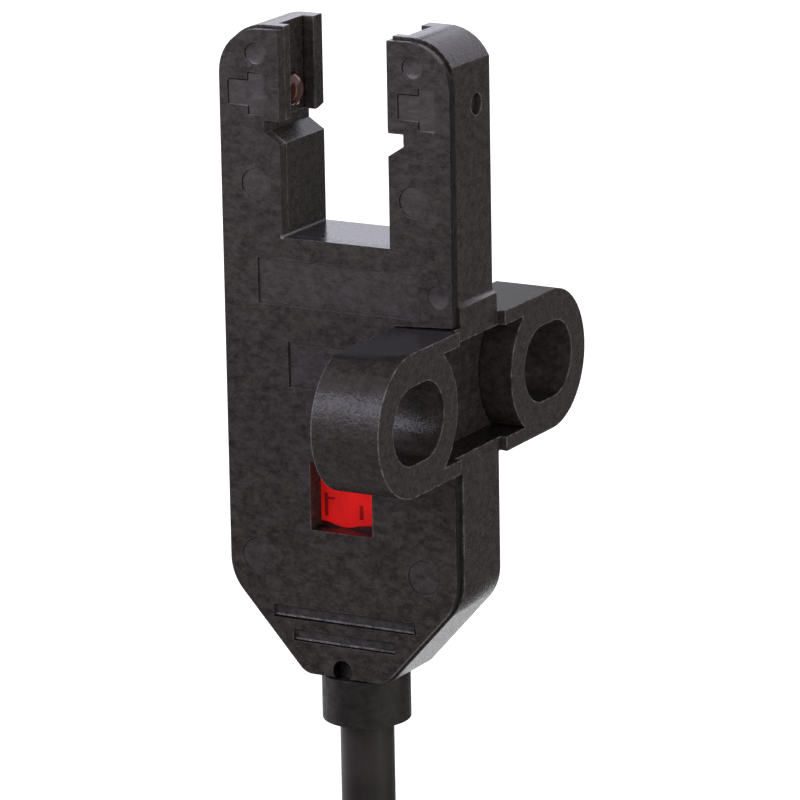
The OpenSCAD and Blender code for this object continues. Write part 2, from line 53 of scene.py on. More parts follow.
camera_data = bpy.data.cameras.new("camera")
camera_data.sensor_width = 36.0
camera_data.lens = 250.84
camera_data.clip_start = 0.01
camera = bpy.data.objects.new("camera", camera_data)
bpy.context.scene.collection.objects.link(camera)
camera.matrix_world = Matrix((
    (CAMERA_RIGHT[0], CAMERA_UP[0], CAMERA_BACK[0], CAMERA_AT[0]),
    (CAMERA_RIGHT[1], CAMERA_UP[1], CAMERA_BACK[1], CAMERA_AT[1]),
    (CAMERA_RIGHT[2], CAMERA_UP[2], CAMERA_BACK[2], CAMERA_AT[2]),
    (0.0, 0.0, 0.0, 1.0),
))
bpy.context.scene.camera = camera
bpy.context.scene.view_settings.view_transform = "Standard"


# Sizes of the part, in millimetres

# These are the part's own sizes, given from CORNER, the top left front corner of the body.
# LUG_CUT is the left side, top and foot of the cover's cut round the flange, and WINDOW is the left
# and right side, top and foot of its opening.
CORNER = (-11.1, -1.9, 14.6)
BODY_W = 10.8
SLOT_X = (2.9, 7.9)
SLOT_DEPTH = 8.6
COVER_T = 0.5
COVER_BACK = 0.9
LUG_CUT = (8.0, -11.6, -17.6)
LENS_D = 1.4
LENS_DROP = 2.9
AXIS_Y = 1.925
CHANNEL_X = 2.4
WINDOW = (3.95, 6.85, -17.9, -20.8)


def at(x, y, z):
    """A point given from the corner of the body in millimetres, as metres in the row frame."""
    return Vector((CORNER[0] + x, CORNER[1] + y, CORNER[2] + z)) * MM


def from_corner(point):
    """The other way round: x, y and z from the corner of the body, in millimetres."""
    return point.x / MM - CORNER[0], point.y / MM - CORNER[1], point.z / MM - CORNER[2]


# Lead route, in millimetres

# The lead drops straight from its exit to DROP_END, and runs up and down between folds round MID
# and LOW. TOP is the top of the hank, whose round end is flat above the angle FLAT_TOP.
# FOLD_R and WAIST have a value for the inner and for the outer column of turns.
LEAD_D = 2.25
EXIT = (-5.7, -0.1, -14.5)
TOP = EXIT[2] - 10.0
DROP_END = TOP - 1.0
FLAT_TOP = math.radians(75)
FOLD_R = (6.8, 9.1)
WAIST = (2.3, 4.6)
PITCH = 2.3
ROWS = 5
RUN = 34.0
END_R = FOLD_R[1] + LEAD_D / 2
MID = TOP - END_R * math.sin(FLAT_TOP)
LOW = MID - RUN
START_STEPS = 24
RUN_STEPS = 16
FOLD_STEPS = 20
LEG_STEPS = 6
# The free end, as x and z from the exit.
TAIL = (
    (9.1, -61.8), (9.1, -62.9), (8.9, -64.4), (8.5, -66.2),
    (8.0, -68.1), (7.6, -70.1), (7.35, -72.1), (7.3, -74.0),
)


def ease(t):
    """From 0 to 1 with a soft start and end, as t goes from 0 to 1."""
    t = min(max(t, 0.0), 1.0)
    return (1 - math.cos(math.pi * t)) / 2


def run_x(column, t):
    """Distance of a run from the middle of the hank: 0 at the top fold, 1 at the bottom one."""
    wide = FOLD_R[column]
    return wide + (WAIST[column] - wide) * (1 - math.cos(2 * math.pi * t)) / 2


def lead_points():
    """Every point of the lead's middle line, from the bushing to the cut end of the jacket."""
    points = []

    def add(x, y, z):
        points.append((EXIT[0] + x, EXIT[1] + y, z))

    def right_run(column, y_from, y_to, start=0.0):
        """Down the right side, from the share start of a run."""
        for k in range(RUN_STEPS + 1):
            t = start + (1 - start) * k / RUN_STEPS
            add(run_x(column, t), y_from + (y_to - y_from) * ease((t - start) / (1 - start)), MID - RUN * t)

    def bottom_fold(column, y):
        for k in range(1, FOLD_STEPS):
            a = math.pi * k / FOLD_STEPS
            add(FOLD_R[column] * math.cos(a), y, LOW - FOLD_R[column] * math.sin(a))

    def top_fold(column, y):
        for k in range(1, FOLD_STEPS):
            a = math.pi * k / FOLD_STEPS
            add(-FOLD_R[column] * math.cos(a), y, MID + FOLD_R[column] * math.sin(a))

    def left_run(from_column, to_column, y_from, y_to, begin, end):
        """Up the left side. It changes its row or column between the shares begin and end."""
        for k in range(RUN_STEPS + 1):
            s = k / RUN_STEPS
            b = ease((s - begin) / (end - begin))
            x = run_x(from_column, 1 - s) * (1 - b) + run_x(to_column, 1 - s) * b
            add(-x, y_from + (y_to - y_from) * b, MID - RUN * (1 - s))

    waist_z = MID - RUN / 2
    for k in range(START_STEPS):
        z = EXIT[2] + (waist_z - EXIT[2]) * k / START_STEPS
        add(WAIST[0] * ease((DROP_END - z) / (DROP_END - waist_z)), 0.0, z)
    right_run(0, 0.0, 0.0, 0.5)
    for row in range(ROWS - 1):
        bottom_fold(0, row * PITCH)
        left_run(0, 0, row * PITCH, (row + 1) * PITCH, 0.65, 1.0)
        top_fold(0, (row + 1) * PITCH)
        right_run(0, (row + 1) * PITCH, (row + 1) * PITCH)
    last = (ROWS - 1) * PITCH
    bottom_fold(0, last)
    left_run(0, 1, last, last, 0.3, 0.7)
    top_fold(1, last)
    right_run(1, last, last)
    for row in range(ROWS - 1, 1, -1):
        bottom_fold(1, row * PITCH)
        left_run(1, 1, row * PITCH, (row - 1) * PITCH, 0.0, 0.35)
        top_fold(1, (row - 1) * PITCH)
        right_run(1, (row - 1) * PITCH, (row - 1) * PITCH if row > 2 else 0.0)
    for k in range(1, LEG_STEPS):
        add(FOLD_R[1], 0.0, LOW + (EXIT[2] + TAIL[0][1] - LOW) * k / LEG_STEPS)
    for x, z in TAIL:
        add(x, 0.0, EXIT[2] + z)
    return np.array(points) * MM


def tubes(name, lines, radius, rounding):
    """A mesh tube of that radius along each line of points, in metres, with rounded shading."""
    data = bpy.data.curves.new(name + "_lines", "CURVE")
    data.dimensions = "3D"
    data.bevel_depth = radius
    data.bevel_resolution = rounding
    data.use_fill_caps = True
    for line in lines:
        spline = data.splines.new("POLY")
        spline.points.add(len(line) - 1)
        spline.points.foreach_set("co", np.c_[line, np.ones(len(line))].ravel())
        spline.use_smooth = True
    maker = bpy.data.objects.new(name + "_lines", data)
    bpy.context.scene.collection.objects.link(maker)
    mesh = bpy.data.meshes.new_from_object(maker.evaluated_get(bpy.context.evaluated_depsgraph_get()))
    bpy.data.objects.remove(maker)
    obj = bpy.data.objects.new(name, mesh)
    bpy.context.scene.collection.objects.link(obj)
    return obj


lead_line = lead_points()
lead = tubes("lead", [lead_line], LEAD_D / 2 * MM, 10)
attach(lead, "root")
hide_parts("lead_jacket", "lead_hank", "lead_tail")


# Materials
def new_material(name):
    """A material with its node tree and its main shader."""
    mat = bpy.data.materials.new(name)
    mat.use_nodes = True
    tree = mat.node_tree
    shader = next(n for n in tree.nodes if n.type == "BSDF_PRINCIPLED")
    return mat, tree, shader


def coords(tree, stretch=(1.0, 1.0, 1.0)):
    """Object coordinates in millimetres, times stretch on each axis."""
    source = tree.nodes.new("ShaderNodeTexCoord")
    mapping = tree.nodes.new("ShaderNodeMapping")
    mapping.inputs["Scale"].default_value = [s / MM for s in stretch]
    tree.links.new(source.outputs["Object"], mapping.inputs["Vector"])
    return mapping.outputs["Vector"]


def noise(tree, vector, scale, detail=2.0, rough=0.5):
    node = tree.nodes.new("ShaderNodeTexNoise")
    node.inputs["Scale"].default_value = scale
    node.inputs["Detail"].default_value = detail
    node.inputs["Roughness"].default_value = rough
    tree.links.new(vector, node.inputs["Vector"])
    return node.outputs["Fac"]


def remap(tree, value, low, high, new_low, new_high):
    """Takes the range from low to high to the new range, and holds it there."""
    node = tree.nodes.new("ShaderNodeMapRange")
    node.inputs["From Min"].default_value = low
    node.inputs["From Max"].default_value = high
    node.inputs["To Min"].default_value = new_low
    node.inputs["To Max"].default_value = new_high
    tree.links.new(value, node.inputs["Value"])
    return node.outputs["Result"]


def blend(tree, factor, a, b):
    """A colour between the colour a and the fixed colour b."""
    node = tree.nodes.new("ShaderNodeMix")
    node.data_type = "RGBA"
    tree.links.new(factor, node.inputs["Factor"])
    tree.links.new(a, next(i for i in node.inputs if i.name == "A" and i.type == "RGBA"))
    next(i for i in node.inputs if i.name == "B" and i.type == "RGBA").default_value = (*b, 1.0)
    return next(o for o in node.outputs if o.type == "RGBA")


def ramp(tree, value, stops):
    node = tree.nodes.new("ShaderNodeValToRGB")
    items = node.color_ramp.elements
    while len(items) < len(stops):
        items.new(0.5)
    for item, (place, colour) in zip(items, stops):
        item.position = place
        item.color = (*colour, 1.0)
    tree.links.new(value, node.inputs["Fac"])
    return node.outputs["Color"]


def bump(tree, height, strength, distance_mm, under=None):
    node = tree.nodes.new("ShaderNodeBump")
    node.inputs["Strength"].default_value = strength
    node.inputs["Distance"].default_value = distance_mm * MM
    tree.links.new(height, node.inputs["Height"])
    if under is not None:
        tree.links.new(under, node.inputs["Normal"])
    return node.outputs["Normal"]


def math_node(tree, operation, a, b=None):
    """The result of a math operation on sockets or fixed values."""
    node = tree.nodes.new("ShaderNodeMath")
    node.operation = operation
    for socket, value in zip(node.inputs, (a, b)):
        if isinstance(value, float):
            socket.default_value = value
        elif value is not None:
            tree.links.new(value, socket)
    return node.outputs["Value"]


def product(tree, a, b):
    return math_node(tree, "MULTIPLY", a, b)


def split(tree, vector):
    """The X, Y and Z outputs of a vector."""
    parts = tree.nodes.new("ShaderNodeSeparateXYZ")
    tree.links.new(vector, parts.inputs["Vector"])
    return parts.outputs


def nearness(tree, reach_mm, inside, low, high):
    """Where surfaces meet within reach: inner corners, or outer edges if inside is True, as 0 to 1."""
    node = tree.nodes.new("ShaderNodeAmbientOcclusion")
    node.samples = 6
    node.inside = inside
    node.only_local = True
    node.inputs["Distance"].default_value = reach_mm * MM
    return remap(tree, node.outputs["AO"], high, low, 0.0, 1.0)


def looking_up(tree, low, high):
    """1 on faces that look up or down in the rest pose, 0 on upright ones, with a soft border."""
    source = tree.nodes.new("ShaderNodeTexCoord")
    upright = math_node(tree, "ABSOLUTE", split(tree, source.outputs["Normal"])["Z"])
    return remap(tree, upright, low, high, 0.0, 1.0)


def beside_slot_corner(tree, vector):
    """1 along the inner corner where the slot's floor meets the left arm, 0 away from it."""
    place = split(tree, vector)
    across = math_node(tree, "SUBTRACT", place["X"], CORNER[0] + SLOT_X[0])
    along = math_node(tree, "SUBTRACT", place["Z"], CORNER[2] - SLOT_DEPTH)
    far = math_node(tree, "MAXIMUM", math_node(tree, "ABSOLUTE", across), math_node(tree, "ABSOLUTE", along))
    return remap(tree, far, 0.03, 0.09, 1.0, 0.0)


def in_pocket(tree, vector):
    """1 on the floor and walls of the pocket between the two eyes of the flange, 0 elsewhere."""
    place = split(tree, vector)
    inside = None
    for axis, (middle, half) in zip("XYZ", POCKET):
        far = math_node(tree, "ABSOLUTE", math_node(tree, "SUBTRACT", place[axis], middle))
        within = math_node(tree, "LESS_THAN", far, half)
        inside = within if inside is None else product(tree, inside, within)
    return inside


def moulded(name, dark, light, rough, grain, gloss=0.5, wear_and_shade=None):
    """Moulded plastic: eroded grain of two sizes and cloudy tone.

    grain is (coarse scale, coarse strength, fine scale, fine strength). wear_and_shade is (reach,
    colour of the outer edges, rubbed and partly a painted highlight, colour of the painted shade,
    stretch of the scuffs). With it, faces that look up or down are polished, with next to no grain,
    and darkened by painted shade, as are inner corners and the pocket; the slot's inner corner gets
    a painted highlight."""
    mat, tree, shader = new_material(name)
    vector = coords(tree)
    cloudy = noise(tree, coords(tree, (0.8, 0.8, 1.2)), 3.0, 6.0, 0.72)
    coarse = noise(tree, vector, grain[0], 3.0, 0.55)
    fine = noise(tree, vector, grain[2], 2.0, 0.6)
    tone = ramp(tree, cloudy, [(0.36, dark), (0.64, light)])
    if wear_and_shade is not None:
        patches = remap(tree, noise(tree, vector, 2.5, 4.0, 0.7), 0.42, 0.62, 0.08, 1.0)
        scuffs = noise(tree, coords(tree, wear_and_shade[3]), 1.5, 6.0, 0.75)
        tone = blend(tree, remap(tree, scuffs, 0.56, 0.72, 0.0, 0.55), tone, SCUFF)
        # Painted shade: faces that look up or down are darkened towards the shade colour.
        ledge = looking_up(tree, 0.93, 0.995)
        tone = blend(tree, remap(tree, ledge, 0.0, 1.0, 0.0, 0.65), tone, wear_and_shade[2])
        # Painted shade in inner corners, where surfaces meet within reach.
        tone = blend(tree, nearness(tree, 1.6 * wear_and_shade[0], False, 0.5, 0.92), tone, wear_and_shade[2])
        # Outer edges lightened in patches: rubbed wear, partly a painted edge highlight.
        tone = blend(tree, product(tree, nearness(tree, wear_and_shade[0], True, 0.5, 0.95), patches), tone, wear_and_shade[1])
        # Painted highlight: a pale line along the slot's inner corner, where a reflection lies.
        tone = blend(tree, beside_slot_corner(tree, vector), tone, SLOT_CORNER_HIGHLIGHT)
        # Painted shade in the pocket between the eyes of the flange.
        tone = blend(tree, product(tree, in_pocket(tree, vector), POCKET_SHADE), tone, wear_and_shade[2])
    tree.links.new(tone, shader.inputs["Base Color"])
    sheen = remap(tree, coarse, 0.3, 0.7, rough[0], rough[1])
    rolling = bump(tree, coarse, grain[1], 0.03)
    grained = bump(tree, fine, grain[3], 0.012, rolling)
    if wear_and_shade is not None:
        smooth = looking_up(tree, 0.35, 0.9)
        for grain_node in (rolling.node, grained.node):
            deep = grain_node.inputs["Strength"].default_value
            tree.links.new(remap(tree, smooth, 0.0, 1.0, deep, 0.18 * deep), grain_node.inputs["Strength"])
        sheen = product(tree, sheen, remap(tree, ledge, 0.0, 1.0, 1.0, 0.75))
    tree.links.new(sheen, shader.inputs["Roughness"])
    tree.links.new(grained, shader.inputs["Normal"])
    shader.inputs["Specular IOR Level"].default_value = gloss
    return mat


# Colours are linear. POCKET is the middle and half size of the pocket on X, Y and Z, in millimetres.
# Colours of the outer edges on the case and on the cover: rubbed wear, partly a painted highlight.
WEAR_AND_HIGHLIGHT = (0.19, 0.18, 0.195)
RUB_AND_HIGHLIGHT = (0.085, 0.08, 0.085)
SCUFF = (0.062, 0.056, 0.062)
# Colour of the painted highlight along the slot's inner corner.
SLOT_CORNER_HIGHLIGHT = (0.2, 0.19, 0.2)
POCKET = ((-0.83, 0.79), (0.0, 3.55), (0.0, 2.37))
# Share of the painted shade in the pocket.
POCKET_SHADE = 0.2
UPRIGHT = (1.6, 1.6, 0.3)
LEVEL = (0.4, 1.0, 1.8)
# Colour of the painted shade in inner corners, on level faces and in the pocket.
PAINTED_SHADE = (0.0055, 0.005, 0.005)
CASE_GRAIN = (7.0, 1.0, 18.0, 0.35)
COVER_GRAIN = (3.5, 0.7, 12.0, 0.4)
RECESS_GRAIN = (2.5, 0.5, 12.0, 0.4)
CORE_GRAIN = (2.0, 0.1, 6.0, 0.15)
PLASTIC_GLOSS = 0.17
case_mat = moulded(
    "case_plastic", (0.017, 0.0132, 0.0123), (0.040, 0.0328, 0.0306), (0.18, 0.32), CASE_GRAIN,
    PLASTIC_GLOSS, (0.07, WEAR_AND_HIGHLIGHT, PAINTED_SHADE, UPRIGHT))
cover_mat = moulded(
    "cover_plastic", (0.015, 0.0116, 0.0108), (0.043, 0.0350, 0.0327), (0.22, 0.38), COVER_GRAIN,
    PLASTIC_GLOSS, (0.05, RUB_AND_HIGHLIGHT, PAINTED_SHADE, LEVEL))
recess_mat = moulded(
    "recess_plastic", (0.022, 0.0180, 0.0182), (0.046, 0.0385, 0.0390), (0.2, 0.3), RECESS_GRAIN,
    0.3, (0.05, RUB_AND_HIGHLIGHT, PAINTED_SHADE, LEVEL))
# A darker copy of the cover plastic: painted shade on its right side and on lips that face down.
shaded_side_mat = moulded(
    "cover_shaded_side", (0.005, 0.0041, 0.004), (0.015, 0.0125, 0.012), (0.3, 0.42), COVER_GRAIN,
    0.1, (0.05, RUB_AND_HIGHLIGHT, PAINTED_SHADE, UPRIGHT))
# A lighter copy of the cover plastic: painted light on the floors of the grooves.
lit_groove_mat = moulded(
    "groove_floor_lit", (0.022, 0.0190, 0.0193), (0.050, 0.0440, 0.0450), (0.25, 0.36), COVER_GRAIN, 0.2)
# A much lighter copy of the plastic: a painted highlight along the foot of each groove's floor.
glint_mat = moulded(
    "groove_glint", (0.045, 0.04, 0.042), (0.19, 0.176, 0.181), (0.22, 0.3), COVER_GRAIN, 0.3)
# A paler copy of the cover plastic: a painted highlight on lips that face up.
lit_lip_mat = moulded(
    "cover_lip_highlight", (0.05, 0.046, 0.049), (0.095, 0.089, 0.096), (0.25, 0.35), COVER_GRAIN, 0.25)
# A near black copy of the plastic: painted shade on the wall of the small hole, on the lower walls and lips
# of the grooves, and on the shaded walls and lips of the package marks.
deep_shade_mat = moulded(
    "cover_deep_shade", (0.0022, 0.002, 0.002), (0.0036, 0.0032, 0.0032), (0.55, 0.7), RECESS_GRAIN, 0.05)
chip_mat = moulded("chip_black", (0.012, 0.012, 0.012), (0.02, 0.02, 0.02), (0.5, 0.6), COVER_GRAIN)
bushing_mat = moulded(
    "bushing_rubber", (0.0085, 0.0068, 0.0064), (0.0185, 0.0152, 0.0146), (0.42, 0.58), COVER_GRAIN,
    PLASTIC_GLOSS)
capacitor_mat = moulded("capacitor_tan", (0.3, 0.21, 0.12), (0.42, 0.31, 0.19), (0.45, 0.6), COVER_GRAIN)
CORE_COLOURS = {
    "brown": ((0.09, 0.033, 0.012), (0.13, 0.05, 0.018)),
    "black": ((0.014, 0.014, 0.014), (0.022, 0.022, 0.022)),
    "blue": ((0.012, 0.06, 0.3), (0.02, 0.09, 0.4)),
    "pink": ((0.55, 0.2, 0.24), (0.7, 0.28, 0.32)),
}
core_mats = {
    colour: moulded("core_" + colour, low, high, (0.3, 0.42), CORE_GRAIN)
    for colour, (low, high) in CORE_COLOURS.items()
}


def lead_material():
    """Extruded jacket: a satin skin with soft lengthwise drag marks and slow patches."""
    mat, tree, shader = new_material("lead_pvc")
    vector = coords(tree)
    drawn = coords(tree, (1.0, 1.0, 0.12))
    slow = noise(tree, vector, 0.5, 2.0)
    drag = noise(tree, drawn, 5.0, 3.0, 0.6)
    fine = noise(tree, vector, 12.0, 3.0, 0.6)
    tree.links.new(ramp(tree, slow, [(0.3, (0.013, 0.0105, 0.0103)), (0.7, (0.024, 0.0198, 0.0194))]),
                   shader.inputs["Base Color"])
    tree.links.new(remap(tree, drag, 0.3, 0.7, 0.38, 0.54), shader.inputs["Roughness"])
    tree.links.new(bump(tree, fine, 0.35, 0.012, bump(tree, drag, 0.35, 0.03)), shader.inputs["Normal"])
    shader.inputs["Specular IOR Level"].default_value = PLASTIC_GLOSS
    return mat


def clear_red(name, deep, bright, rough, gloss, glow=0.0):
    """Clear red resin: a saturated body colour, and with glow an even painted glow for light gathered in it.
    """
    mat, tree, shader = new_material(name)
    vector = coords(tree)
    patch = noise(tree, vector, 0.9, 2.0)
    tree.links.new(ramp(tree, patch, [(0.3, deep), (0.7, bright)]), shader.inputs["Base Color"])
    flow = noise(tree, vector, 5.0)
    tree.links.new(remap(tree, flow, 0.3, 0.7, rough, rough + 0.1), shader.inputs["Roughness"])
    tree.links.new(bump(tree, flow, 0.08, 0.02), shader.inputs["Normal"])
    shader.inputs["Specular IOR Level"].default_value = gloss
    if glow:
        shader.inputs["Emission Color"].default_value = (*bright, 1.0)
        shader.inputs["Emission Strength"].default_value = glow
    return mat


def metal(name, low, high, rough):
    """Bare metal with a fine grain and slow patches."""
    mat, tree, shader = new_material(name)
    vector = coords(tree)
    tone = ramp(tree, noise(tree, vector, 2.0), [(0.3, low), (0.7, high)])
    tree.links.new(tone, shader.inputs["Base Color"])
    grain = noise(tree, vector, 12.0, 3.0)
    tree.links.new(remap(tree, grain, 0.3, 0.7, rough[0], rough[1]), shader.inputs["Roughness"])
    tree.links.new(bump(tree, grain, 0.2, 0.01), shader.inputs["Normal"])
    shader.inputs["Metallic"].default_value = 1.0
    return mat


def board_material():
    """Green solder resist over a faint weave."""
    mat, tree, shader = new_material("board_green")
    vector = coords(tree)
    weave = noise(tree, vector, 7.0, 2.0)
    tree.links.new(ramp(tree, weave, [(0.3, (0.012, 0.07, 0.03)), (0.7, (0.02, 0.12, 0.05))]),
                   shader.inputs["Base Color"])
    tree.links.new(remap(tree, weave, 0.3, 0.7, 0.3, 0.42), shader.inputs["Roughness"])
    tree.links.new(bump(tree, weave, 0.2, 0.01), shader.inputs["Normal"])
    return mat


def strap_material():
    """Woven band: threads across and along it, pressed flat, in dull black nylon."""
    mat, tree, shader = new_material("tie_strap")
    vector = coords(tree)
    heights = []
    for direction, scale in (("Z", 2.2), ("DIAGONAL", 1.6)):
        thread = tree.nodes.new("ShaderNodeTexWave")
        thread.bands_direction = direction
        thread.inputs["Scale"].default_value = scale
        thread.inputs["Distortion"].default_value = 0.6
        thread.inputs["Detail"].default_value = 2.0
        tree.links.new(vector, thread.inputs["Vector"])
        heights.append(thread.outputs["Fac"])
    weave = product(tree, heights[0], heights[1])
    fluff = noise(tree, vector, 9.0, 4.0, 0.7)
    tree.links.new(ramp(tree, fluff, [(0.3, (0.011, 0.011, 0.0125)), (0.7, (0.028, 0.028, 0.031))]),
                   shader.inputs["Base Color"])
    tree.links.new(remap(tree, fluff, 0.3, 0.7, 0.75, 0.9), shader.inputs["Roughness"])
    woven = bump(tree, weave, 0.8, 0.08)
    tree.links.new(bump(tree, fluff, 0.4, 0.03, woven), shader.inputs["Normal"])
    shader.inputs["Sheen Weight"].default_value = 0.2
    return mat


lead_mat = lead_material()
# pane_mat and rib_mat have a painted glow; shade_mat is painted shade.
pane_mat = clear_red("indicator_red", (0.38, 0.008, 0.008), (0.62, 0.011, 0.010), 0.2, 0.06, 0.25)
shade_mat = clear_red("indicator_shade", (0.025, 0.004, 0.004), (0.055, 0.005, 0.006), 0.3, 0.2)
rib_mat = clear_red("indicator_rib", (0.16, 0.004, 0.005), (0.26, 0.005, 0.006), 0.3, 0.06, 0.12)
lens_mat = clear_red("lens_red", (0.028, 0.010, 0.008), (0.075, 0.020, 0.014), 0.05, 0.5)
tin_mat = metal("tinned_lead", (0.55, 0.55, 0.56), (0.68, 0.68, 0.68), (0.25, 0.4))
solder_mat = metal("solder", (0.6, 0.6, 0.61), (0.72, 0.72, 0.72), (0.15, 0.3))
copper_mat = metal("bare_copper", (0.72, 0.34, 0.18), (0.86, 0.46, 0.27), (0.2, 0.35))
board_mat = board_material()
strap_mat = strap_material()
led_mat = clear_red("led_clear", (0.55, 0.5, 0.45), (0.7, 0.66, 0.6), 0.1, 0.5)


# Mesh helpers
WELD_DIST = 0.000001
FLAT_ANGLE = math.radians(0.5)
# Corners, edges and faces are sorted along this direction. It is slanted by roots, so that places
# that differ by round sizes don't fall together on it. Where Blender's bevel leaves two of them in
# one place, a small share of where the faces beside them lie sets the order.
SORT_ALONG = Vector((1.0, math.sqrt(7), math.sqrt(31)))
BESIDE_SHARE = 0.001


def once(items):
    """Each item once, in the order in which it first comes."""
    return list(dict.fromkeys(items))


def place(verts, beside):
    """Where corners lie along SORT_ALONG, and a small share of where the faces beside them lie."""
    near = sum(face.calc_center_median().dot(SORT_ALONG) for face in beside)
    return sum(vert.co.dot(SORT_ALONG) for vert in verts) + BESIDE_SHARE * near


def sort_by_place(form):
    """Puts the corners, edges and faces of a bmesh in the same order in each run."""
    form.verts.sort(key=lambda vert: place([vert], vert.link_faces))
    form.edges.sort(key=lambda edge: place(edge.verts, edge.link_faces))
    form.faces.sort(key=lambda face: place(face.verts, [f for e in face.edges for f in e.link_faces]))
    for items in (form.verts, form.edges, form.faces):
        items.index_update()


def mesh_piece(name, form, mats, node):
    """Turns a bmesh into a smooth piece that rides on the body and replaces that CAD node."""
    mesh = bpy.data.meshes.new(name)
    sort_by_place(form)
    bmesh.ops.recalc_face_normals(form, faces=form.faces)
    form.to_mesh(mesh)
    form.free()
    mesh.shade_smooth()
    for mat in mats:
        mesh.materials.append(mat)
    obj = bpy.data.objects.new(name, mesh)
    bpy.context.scene.collection.objects.link(obj)
    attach(obj, "root")
    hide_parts(node)
    return obj


def crisp(obj, bevel_mm=0.0, angle=30.0, clamp=True):
    """Small rounds on sharp edges, and normals that keep flat faces flat."""
    if bevel_mm:
        bevel = obj.modifiers.new("bevel", "BEVEL")
        bevel.width = bevel_mm * MM
        bevel.segments = 2
        bevel.limit_method = "ANGLE"
        bevel.angle_limit = math.radians(angle)
        bevel.use_clamp_overlap = clamp
    normals = obj.modifiers.new("normals", "WEIGHTED_NORMAL")
    normals.mode = "FACE_AREA"
    normals.weight = 100


def soften(node, bevel_mm):
    """The same on a CAD node, whose triangles are joined first."""
    obj = NODES[node]
    weld = obj.modifiers.new("weld", "WELD")
    weld.merge_threshold = WELD_DIST
    flat = obj.modifiers.new("flat", "DECIMATE")
    flat.decimate_type = "DISSOLVE"
    flat.angle_limit = FLAT_ANGLE
    crisp(obj, bevel_mm)


def box(form, low, high, mat=0):
    """Adds a box between two corners given from the corner of the body, and returns its corners."""
    made = bmesh.ops.create_cube(form, size=1.0)["verts"]
    a, b = at(*low), at(*high)
    for vert in made:
        vert.co = Vector([a[k] if vert.co[k] < 0 else b[k] for k in range(3)])
    for face in once(f for v in made for f in v.link_faces):
        face.material_index = mat
    return made


def plate(form, outline, front, back, mat=0):
    """Adds a plate with that x-z outline between two depths."""
    rings = [[form.verts.new(at(x, y, z)) for x, z in outline] for y in (front, back)]
    faces = [form.faces.new(ring) for ring in rings]
    for k in range(len(outline)):
        n = (k + 1) % len(outline)
        faces.append(form.faces.new((rings[0][k], rings[0][n], rings[1][n], rings[1][k])))
    for face in faces:
        face.material_index = mat


def revolved(form, profile, middle, side, sides):
    """Adds a surface turned round an X axis through middle. profile has pairs of x and radius."""
    rings = []
    for x, radius in profile:
        ring = []
        for k in range(sides):
            a = 2 * math.pi * k / sides
            ring.append(form.verts.new(at(
                middle[0] + side * x, middle[1] + radius * math.cos(a), middle[2] + radius * math.sin(a))))
        rings.append(ring)
    for ring, after in zip(rings, rings[1:]):
        for k in range(sides):
            n = (k + 1) % sides
            form.faces.new((ring[k], ring[n], after[n], after[k]))
    form.faces.new(rings[-1])
    form.faces.new(rings[0])


# Front cover with its rounded rim

# Widths and depths are in millimetres, heights are from the top of the body.
# Places that differ by less than TOUCH count as the same.
TOUCH = 0.01
# Round of the rim, chamfer at its back, and the round on each edge that has no other.
RIM_R = 0.17
RIM_BACK = 0.09
SMALL_EDGE = 0.014
# How far beside the slot, and how far under its floor, an edge still counts as the slot's. Edges
# within the last of these from the top are the ends of the arms, which belong to the rim.
SLOT_ROOM = (0.8, 0.3, 0.2)
# Cuts deeper than DEEP_CUT, above the small hole, have a wider round, widest on the lower edge.
DEEP_CUT = 0.15
DEEP_EDGE = 0.05
LOWER_LIP = 0.11
SMALL_HOLE_TOP = -25.9
# Depths between which the floor of a shallow recess lies, and slopes (normal's Y) of a lip.
RECESS = (0.04, 0.12)
LIP_SLOPE = (-0.985, -0.15)
# The upper edge of the cut round the flange falls by this much, as the flange's draft does.
LUG_DRAFT = 0.16
# Grooves at the foot: where they begin, how deep they are, the height of the lower wall of each,
# and the strip of its floor, from that wall up, that has a painted highlight.
GROOVE_TOP = -23.0
GROOVE_DEPTH = 0.2
GROOVE_FEET = (-24.7, -25.65)
GLINT = (0.02, 0.08)
# Package marks on the arms: how low they reach, the shortest side that has a lip, and its width.
MARK_END = -7.0
MARK_SIDE = 0.3
MARK_LIP = 0.05
# The small hole over the lead: x, height and the reach of its wall.
VENT = (5.3, -26.7, 0.55)
# The tapered part of the right side lies right of this x and below this height.
SIDE_FOOT = (6.0, -21.5)
# Materials of the cover, in order: its plastic, the recess floors, deep painted shade, painted shade,
# painted highlight on lips, painted light on the groove floors and a painted glint.
PLAIN, RECESSED, DEEP_SHADE, SHADED_SIDE, LIT_LIP, LIT_GROOVE, GLINTING = range(7)
COVER_MATS = (cover_mat, recess_mat, deep_shade_mat, shaded_side_mat, lit_lip_mat, lit_groove_mat, glint_mat)


def spots(part):
    """The corners of an edge or a face, each as x, y and z from the corner of the body."""
    return [from_corner(v.co) for v in part.verts]


def walls_at(edge, slope):
    """The faces beside an edge that stand upright on the cover, within that slope."""
    return [f for f in edge.link_faces if abs(f.normal.y) < slope]


def on_rim(edge, depth):
    """True for an edge of the cover's outline at that depth, outside the slot and the lug cut."""
    ends = spots(edge)
    if any(abs(y - depth) > TOUCH for _, y, _ in ends):
        return False
    walls = walls_at(edge, 0.5)
    if len(walls) != 1:
        return False
    depths = [y for _, y, _ in spots(walls[0])]
    if abs(min(depths)) > TOUCH or abs(max(depths) - COVER_T) > TOUCH:
        return False
    beside, under, top = SLOT_ROOM
    left, right, foot = SLOT_X[0] - beside, SLOT_X[1] + beside, -SLOT_DEPTH - under
    in_slot = all(left < x < right and z > foot for x, _, z in ends)
    lug_left, lug_top, lug_foot = LUG_CUT
    at_lug = all(x > lug_left - TOUCH and lug_foot - TOUCH < z < lug_top + TOUCH for x, _, z in ends)
    on_arm_end = all(z > -top for _, _, z in ends)
    return on_arm_end or not (in_slot or at_lug)


